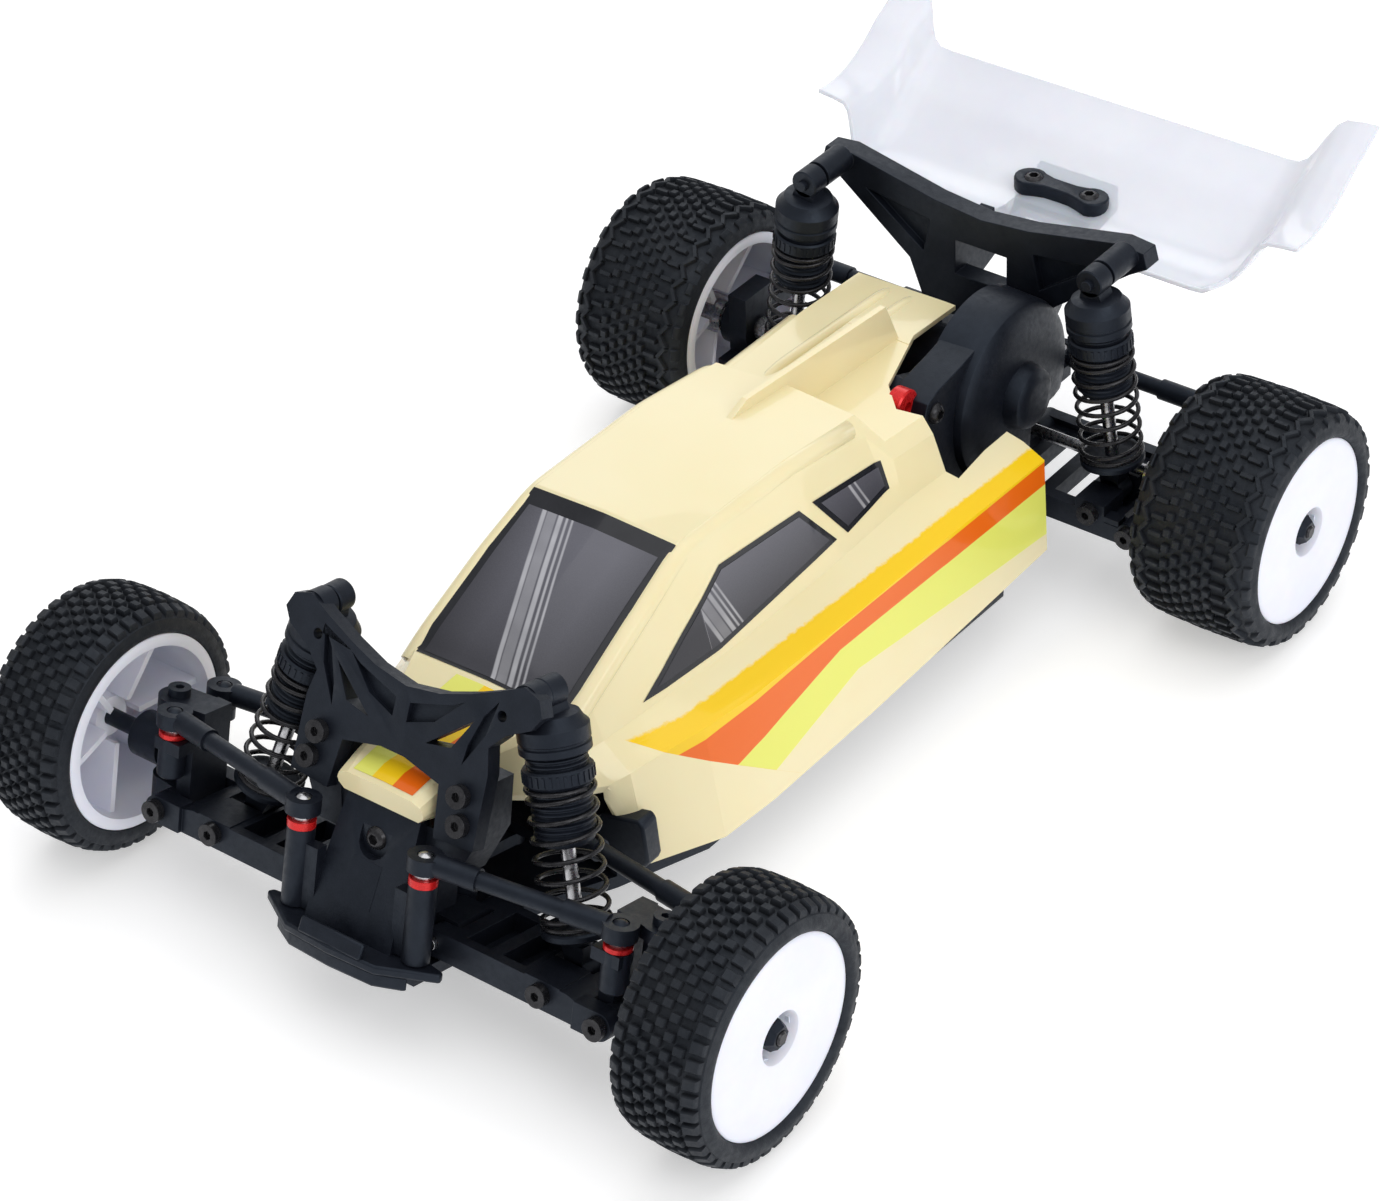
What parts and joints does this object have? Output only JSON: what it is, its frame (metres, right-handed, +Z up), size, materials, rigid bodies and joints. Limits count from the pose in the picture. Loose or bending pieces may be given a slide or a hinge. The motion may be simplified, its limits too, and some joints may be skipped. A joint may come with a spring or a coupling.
{
  "type": "rc buggy",
  "caption": "Small electric off-road buggy model with a rear motor, sprung wishbone suspension, working steering, gear train, a moulded shell and a rear wing.",
  "frame": {"origin": "on the ground under the middle of the bounding box", "axes": "+X to the buggy's left, the nose towards -Y, +Z up from the ground"},
  "size_m": [0.1476, 0.2347, 0.0686],
  "materials": {
    "black_plastic": "satin moulded glass-filled nylon",
    "tyre_rubber": "matt rubber with moulded tread",
    "white_plastic": "semi-gloss white nylon",
    "body_cream": "gloss painted polycarbonate shell",
    "wing_clear": "gloss translucent polycarbonate",
    "steel": "machined steel",
    "black_steel": "black oxide steel",
    "motor_can": "plated steel can",
    "battery_wrap": "shrink wrap",
    "gear_plastic": "moulded gear nylon",
    "servo_plastic": "moulded case"
  },
  "bodies": {
    "root": {"chassis_tub": "black_plastic", "front_bulkhead": "black_plastic", "front_bumper": "black_plastic", "front_shock_tower": "black_plastic", "gearbox_case": "black_plastic", "gear_cover": "black_plastic", "rear_shock_tower": "black_plastic", "wing": "wing_clear", "wing_clamp": "black_plastic", "body_shell": "body_cream", "battery": "battery_wrap", "servo_and_receiver": "servo_plastic", "motor": "motor_can", "chassis_fasteners": "steel"},
    "servo_saver": {"servo_saver": "black_plastic"},
    "idler_arm": {"idler_arm": "black_plastic"},
    "steering_link": {"steering_link": "black_plastic"},
    "differential": {"differential": "gear_plastic"},
    "spur_gear": {"spur_gear": "gear_plastic"},
    "motor_pinion": {"motor_pinion": "steel"},
    "front_arm_left": {"front_arm_left": "black_plastic"},
    "front_caster_block_left": {"front_caster_block_left": "black_plastic"},
    "front_knuckle_left": {"front_knuckle_left": "black_plastic"},
    "front_wheel_left": {"front_rim_left": "white_plastic", "front_tyre_left": "tyre_rubber"},
    "front_camber_link_left": {"front_camber_link_left": "black_plastic"},
    "front_tie_rod_left": {"front_tie_rod_left": "black_plastic"},
    "front_shock_body_left": {"front_shock_body_left": "black_plastic"},
    "front_shock_shaft_left": {"front_shock_shaft_left": "steel", "front_spring_left": "black_steel"},
    "rear_arm_left": {"rear_arm_left": "black_plastic"},
    "rear_hub_carrier_left": {"rear_hub_carrier_left": "black_plastic"},
    "rear_wheel_left": {"rear_rim_left": "white_plastic", "rear_tyre_left": "tyre_rubber"},
    "rear_driveshaft_joint_left": {"rear_driveshaft_joint_left": "steel"},
    "rear_driveshaft_left": {"rear_driveshaft_left": "steel"},
    "rear_camber_link_left": {"rear_camber_link_left": "black_plastic"},
    "rear_shock_body_left": {"rear_shock_body_left": "black_plastic"},
    "rear_shock_shaft_left": {"rear_shock_shaft_left": "steel", "rear_spring_left": "black_steel"},
    "front_arm_right": {"front_arm_right": "black_plastic"},
    "front_caster_block_right": {"front_caster_block_right": "black_plastic"},
    "front_knuckle_right": {"front_knuckle_right": "black_plastic"},
    "front_wheel_right": {"front_rim_right": "white_plastic", "front_tyre_right": "tyre_rubber"},
    "front_camber_link_right": {"front_camber_link_right": "black_plastic"},
    "front_tie_rod_right": {"front_tie_rod_right": "black_plastic"},
    "front_shock_body_right": {"front_shock_body_right": "black_plastic"},
    "front_shock_shaft_right": {"front_shock_shaft_right": "steel", "front_spring_right": "black_steel"},
    "rear_arm_right": {"rear_arm_right": "black_plastic"},
    "rear_hub_carrier_right": {"rear_hub_carrier_right": "black_plastic"},
    "rear_wheel_right": {"rear_rim_right": "white_plastic", "rear_tyre_right": "tyre_rubber"},
    "rear_driveshaft_joint_right": {"rear_driveshaft_joint_right": "steel"},
    "rear_driveshaft_right": {"rear_driveshaft_right": "steel"},
    "rear_camber_link_right": {"rear_camber_link_right": "black_plastic"},
    "rear_shock_body_right": {"rear_shock_body_right": "black_plastic"},
    "rear_shock_shaft_right": {"rear_shock_shaft_right": "steel", "rear_spring_right": "black_steel"}
  },
  "joints": [
    {"name": "steering", "type": "hinge", "parent": "root", "child": "servo_saver", "pos_m": [0.007, -0.08805, 0.02171], "axis": [0, 0.2588, 0.9659], "range_deg": [-22, 22]},
    {"name": "idler_turn", "type": "hinge", "parent": "root", "child": "idler_arm", "pos_m": [-0.007, -0.08805, 0.02171], "axis": [0, 0.2588, 0.9659], "range_deg": [-22, 22]},
    {"name": "link_turn", "type": "hinge", "parent": "servo_saver", "child": "steering_link", "pos_m": [0.007, -0.07742, 0.01887], "axis": [0, 0.2588, 0.9659], "range_deg": [-22, 22]},
    {"name": "rear_axle_spin", "type": "hinge", "parent": "root", "child": "differential", "pos_m": [0, 0.0609, 0.0223], "axis": [1, 0, 0], "continuous": true},
    {"name": "spur_gear_spin", "type": "hinge", "parent": "root", "child": "spur_gear", "pos_m": [0, 0.0529, 0.0351], "axis": [1, 0, 0], "continuous": true},
    {"name": "motor_spin", "type": "hinge", "parent": "root", "child": "motor_pinion", "pos_m": [0, 0.0375, 0.0266], "axis": [1, 0, 0], "continuous": true},
    {"name": "front_suspension_left", "type": "hinge", "parent": "root", "child": "front_arm_left", "pos_m": [0.0125, -0.09591, 0.01554], "axis": [0, -0.9659, 0.2588], "range_deg": [-5, 12], "stiffness_Nm_per_rad": 0.6, "springref_deg": -9.17},
    {"name": "front_caster_hinge_left", "type": "hinge", "parent": "front_arm_left", "child": "front_caster_block_left", "pos_m": [0.0458, -0.09591, 0.01554], "axis": [0, -0.9659, 0.2588], "range_deg": [-12, 5]},
    {"name": "front_kingpin_left", "type": "hinge", "parent": "front_caster_block_left", "child": "front_knuckle_left", "pos_m": [0.05, -0.0941, 0.0223], "axis": [0, 0.2588, 0.9659], "range_deg": [-22, 22]},
    {"name": "front_wheel_spin_left", "type": "hinge", "parent": "front_knuckle_left", "child": "front_wheel_left", "pos_m": [0.065, -0.0941, 0.0223], "axis": [1, 0, 0], "continuous": true},
    {"name": "front_camber_link_hinge_left", "type": "hinge", "parent": "root", "child": "front_camber_link_left", "pos_m": [0.0125, -0.103, 0.0339], "axis": [0, -0.9659, 0.2588], "range_deg": [-5, 12]},
    {"name": "front_tie_rod_hinge_left", "type": "hinge", "parent": "steering_link", "child": "front_tie_rod_left", "pos_m": [0.0167, -0.07595, 0.02437], "axis": [0, -0.9659, 0.2588], "range_deg": [-5, 12]},
    {"name": "front_shock_hinge_left", "type": "hinge", "parent": "root", "child": "front_shock_body_left", "pos_m": [0.0215, -0.08165, 0.05717], "axis": [0, -0.9659, 0.2588], "range_deg": [-1, 1.7]},
    {"name": "front_shock_stroke_left", "type": "slide", "parent": "front_shock_body_left", "child": "front_shock_shaft_left", "axis": [0.2756, -0.2488, -0.9285], "range_m": [-0.00459, 0.00203], "deforming": ["front_spring_left"]},
    {"name": "rear_suspension_left", "type": "hinge", "parent": "root", "child": "rear_arm_left", "pos_m": [0.0125, 0.0609, 0.0167], "axis": [0, -1, 0], "range_deg": [-5, 12], "stiffness_Nm_per_rad": 0.9, "springref_deg": -9.17},
    {"name": "rear_hub_hinge_left", "type": "hinge", "parent": "rear_arm_left", "child": "rear_hub_carrier_left", "pos_m": [0.0435, 0.0609, 0.0167], "axis": [0, -1, 0], "range_deg": [-12, 5]},
    {"name": "rear_wheel_spin_left", "type": "hinge", "parent": "rear_hub_carrier_left", "child": "rear_wheel_left", "pos_m": [0.06, 0.0609, 0.0223], "axis": [1, 0, 0], "continuous": true},
    {"name": "rear_driveshaft_swing_left", "type": "hinge", "parent": "root", "child": "rear_driveshaft_joint_left", "pos_m": [0.011, 0.0609, 0.0223], "axis": [0, -1, 0], "range_deg": [-5, 12]},
    {"name": "rear_driveshaft_spin_left", "type": "hinge", "parent": "rear_driveshaft_joint_left", "child": "rear_driveshaft_left", "pos_m": [0.011, 0.0609, 0.0223], "axis": [1, 0, 0], "continuous": true},
    {"name": "rear_camber_link_hinge_left", "type": "hinge", "parent": "root", "child": "rear_camber_link_left", "pos_m": [0.0125, 0.0749, 0.0298], "axis": [0, -1, 0], "range_deg": [-5, 12]},
    {"name": "rear_shock_hinge_left", "type": "hinge", "parent": "root", "child": "rear_shock_body_left", "pos_m": [0.0302, 0.0577, 0.0605], "axis": [0, -1, 0], "range_deg": [-0.69, 0.58]},
    {"name": "rear_shock_stroke_left", "type": "slide", "parent": "rear_shock_body_left", "child": "rear_shock_shaft_left", "axis": [0.1258, 0, -0.9921], "range_m": [-0.00502, 0.00221], "deforming": ["rear_spring_left"]},
    {"name": "front_suspension_right", "type": "hinge", "parent": "root", "child": "front_arm_right", "pos_m": [-0.0125, -0.09591, 0.01554], "axis": [0, 0.9659, -0.2588], "range_deg": [-5, 12], "stiffness_Nm_per_rad": 0.6, "springref_deg": -9.17},
    {"name": "front_caster_hinge_right", "type": "hinge", "parent": "front_arm_right", "child": "front_caster_block_right", "pos_m": [-0.0458, -0.09591, 0.01554], "axis": [0, 0.9659, -0.2588], "range_deg": [-12, 5]},
    {"name": "front_kingpin_right", "type": "hinge", "parent": "front_caster_block_right", "child": "front_knuckle_right", "pos_m": [-0.05, -0.0941, 0.0223], "axis": [0, 0.2588, 0.9659], "range_deg": [-22, 22]},
    {"name": "front_wheel_spin_right", "type": "hinge", "parent": "front_knuckle_right", "child": "front_wheel_right", "pos_m": [-0.065, -0.0941, 0.0223], "axis": [1, 0, 0], "continuous": true},
    {"name": "front_camber_link_hinge_right", "type": "hinge", "parent": "root", "child": "front_camber_link_right", "pos_m": [-0.0125, -0.103, 0.0339], "axis": [0, 0.9659, -0.2588], "range_deg": [-5, 12]},
    {"name": "front_tie_rod_hinge_right", "type": "hinge", "parent": "steering_link", "child": "front_tie_rod_right", "pos_m": [-0.0167, -0.07595, 0.02437], "axis": [0, 0.9659, -0.2588], "range_deg": [-5, 12]},
    {"name": "front_shock_hinge_right", "type": "hinge", "parent": "root", "child": "front_shock_body_right", "pos_m": [-0.0215, -0.08165, 0.05717], "axis": [0, 0.9659, -0.2588], "range_deg": [-1, 1.7]},
    {"name": "front_shock_stroke_right", "type": "slide", "parent": "front_shock_body_right", "child": "front_shock_shaft_right", "axis": [-0.2756, -0.2488, -0.9285], "range_m": [-0.00459, 0.00203], "deforming": ["front_spring_right"]},
    {"name": "rear_suspension_right", "type": "hinge", "parent": "root", "child": "rear_arm_right", "pos_m": [-0.0125, 0.0609, 0.0167], "axis": [0, 1, 0], "range_deg": [-5, 12], "stiffness_Nm_per_rad": 0.9, "springref_deg": -9.17},
    {"name": "rear_hub_hinge_right", "type": "hinge", "parent": "rear_arm_right", "child": "rear_hub_carrier_right", "pos_m": [-0.0435, 0.0609, 0.0167], "axis": [0, 1, 0], "range_deg": [-12, 5]},
    {"name": "rear_wheel_spin_right", "type": "hinge", "parent": "rear_hub_carrier_right", "child": "rear_wheel_right", "pos_m": [-0.06, 0.0609, 0.0223], "axis": [1, 0, 0], "continuous": true},
    {"name": "rear_driveshaft_swing_right", "type": "hinge", "parent": "root", "child": "rear_driveshaft_joint_right", "pos_m": [-0.011, 0.0609, 0.0223], "axis": [0, 1, 0], "range_deg": [-5, 12]},
    {"name": "rear_driveshaft_spin_right", "type": "hinge", "parent": "rear_driveshaft_joint_right", "child": "rear_driveshaft_right", "pos_m": [-0.011, 0.0609, 0.0223], "axis": [1, 0, 0], "continuous": true},
    {"name": "rear_camber_link_hinge_right", "type": "hinge", "parent": "root", "child": "rear_camber_link_right", "pos_m": [-0.0125, 0.0749, 0.0298], "axis": [0, 1, 0], "range_deg": [-5, 12]},
    {"name": "rear_shock_hinge_right", "type": "hinge", "parent": "root", "child": "rear_shock_body_right", "pos_m": [-0.0302, 0.0577, 0.0605], "axis": [0, 1, 0], "range_deg": [-0.69, 0.58]},
    {"name": "rear_shock_stroke_right", "type": "slide", "parent": "rear_shock_body_right", "child": "rear_shock_shaft_right", "axis": [-0.1258, 0, -0.9921], "range_m": [-0.00502, 0.00221], "deforming": ["rear_spring_right"]}
  ],
  "couplings": [
    {"joint": "idler_turn", "follows": "steering", "ratio": 1},
    {"joint": "link_turn", "follows": "steering", "ratio": -1},
    {"joint": "rear_axle_spin", "follows": "rear_wheel_spin_left", "ratio": 1},
    {"joint": "spur_gear_spin", "follows": "rear_wheel_spin_left", "ratio": -2},
    {"joint": "motor_spin", "follows": "rear_wheel_spin_left", "ratio": 4.3636},
    {"joint": "front_caster_hinge_left", "follows": "front_suspension_left", "ratio": -1},
    {"joint": "front_kingpin_left", "follows": "steering", "ratio": 1},
    {"joint": "front_camber_link_hinge_left", "follows": "front_suspension_left", "ratio": 1},
    {"joint": "front_tie_rod_hinge_left", "follows": "front_suspension_left", "ratio": 1},
    {"joint": "front_shock_hinge_left", "follows": "front_suspension_left", "ratio": 0.09975},
    {"joint": "front_shock_stroke_left", "follows": "front_suspension_left", "m_per_rad": -0.020966},
    {"joint": "rear_hub_hinge_left", "follows": "rear_suspension_left", "ratio": -1},
    {"joint": "rear_driveshaft_swing_left", "follows": "rear_suspension_left", "ratio": 1},
    {"joint": "rear_driveshaft_spin_left", "follows": "rear_wheel_spin_left", "ratio": 1},
    {"joint": "rear_camber_link_hinge_left", "follows": "rear_suspension_left", "ratio": 1},
    {"joint": "rear_shock_hinge_left", "follows": "rear_suspension_left", "ratio": -0.01575},
    {"joint": "rear_shock_stroke_left", "follows": "rear_suspension_left", "m_per_rad": -0.02302},
    {"joint": "front_caster_hinge_right", "follows": "front_suspension_right", "ratio": -1},
    {"joint": "front_kingpin_right", "follows": "steering", "ratio": 1},
    {"joint": "front_camber_link_hinge_right", "follows": "front_suspension_right", "ratio": 1},
    {"joint": "front_tie_rod_hinge_right", "follows": "front_suspension_right", "ratio": 1},
    {"joint": "front_shock_hinge_right", "follows": "front_suspension_right", "ratio": 0.09975},
    {"joint": "front_shock_stroke_right", "follows": "front_suspension_right", "m_per_rad": -0.020966},
    {"joint": "rear_hub_hinge_right", "follows": "rear_suspension_right", "ratio": -1},
    {"joint": "rear_wheel_spin_right", "follows": "rear_wheel_spin_left", "ratio": 1},
    {"joint": "rear_driveshaft_swing_right", "follows": "rear_suspension_right", "ratio": 1},
    {"joint": "rear_driveshaft_spin_right", "follows": "rear_wheel_spin_left", "ratio": 1},
    {"joint": "rear_camber_link_hinge_right", "follows": "rear_suspension_right", "ratio": 1},
    {"joint": "rear_shock_hinge_right", "follows": "rear_suspension_right", "ratio": -0.01575},
    {"joint": "rear_shock_stroke_right", "follows": "rear_suspension_right", "m_per_rad": -0.02302}
  ]
}
